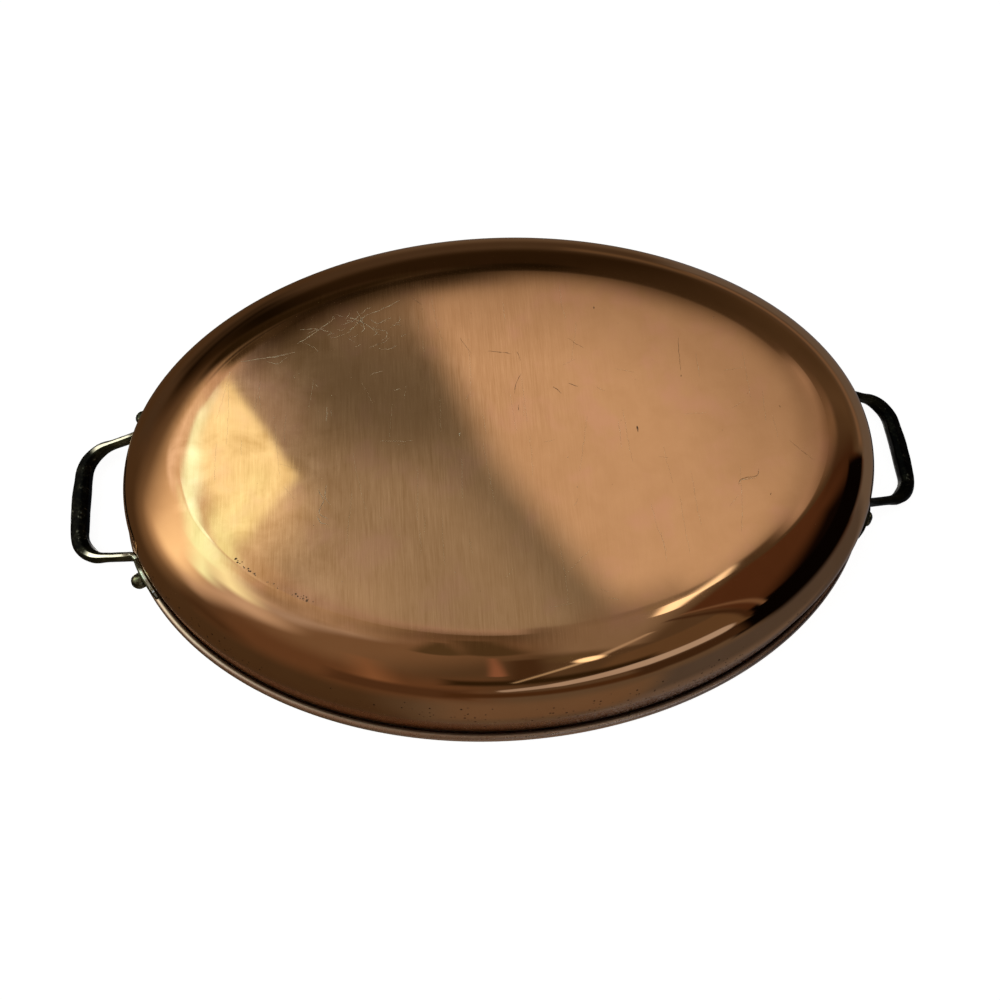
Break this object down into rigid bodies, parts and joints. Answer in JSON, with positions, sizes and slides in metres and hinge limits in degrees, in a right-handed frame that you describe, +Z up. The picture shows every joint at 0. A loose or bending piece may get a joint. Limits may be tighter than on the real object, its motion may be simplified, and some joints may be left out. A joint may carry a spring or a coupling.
{
  "type": "oval gratin pan",
  "caption": "Oval copper gratin pan with a flat base, rounded shoulder, low flared wall and rolled rim, tinned inside, with a riveted cast brass loop handle at each end.",
  "frame": {"origin": "the middle of the flat underside of the base, with the pan standing upright on it", "axes": "+Z up out of the mouth, +X along the oval's long axis towards the right handle, +Y across the oval towards the side that is nearest in the picture"},
  "size_m": [0.3422, 0.208, 0.0431],
  "materials": {
    "copper": "polished copper with fine straight brush lines and light scratches on the base, a soft brown tarnish and small dark pits on the wall",
    "tin": "hand-wiped tin, satin, slightly streaky",
    "handle_brass": "cast brass under a nearly black olive tarnish, rubbed bright along its edges",
    "rivet_metal": "round hammered head, dark tarnish, rubbed at the top"
  },
  "bodies": {
    "root": {"copper_shell": "copper", "tin_lining": "tin", "left_handle": "handle_brass", "right_handle": "handle_brass", "left_near_rivet": "rivet_metal", "left_far_rivet": "rivet_metal", "right_near_rivet": "rivet_metal", "right_far_rivet": "rivet_metal"}
  },
  "joints": []
}
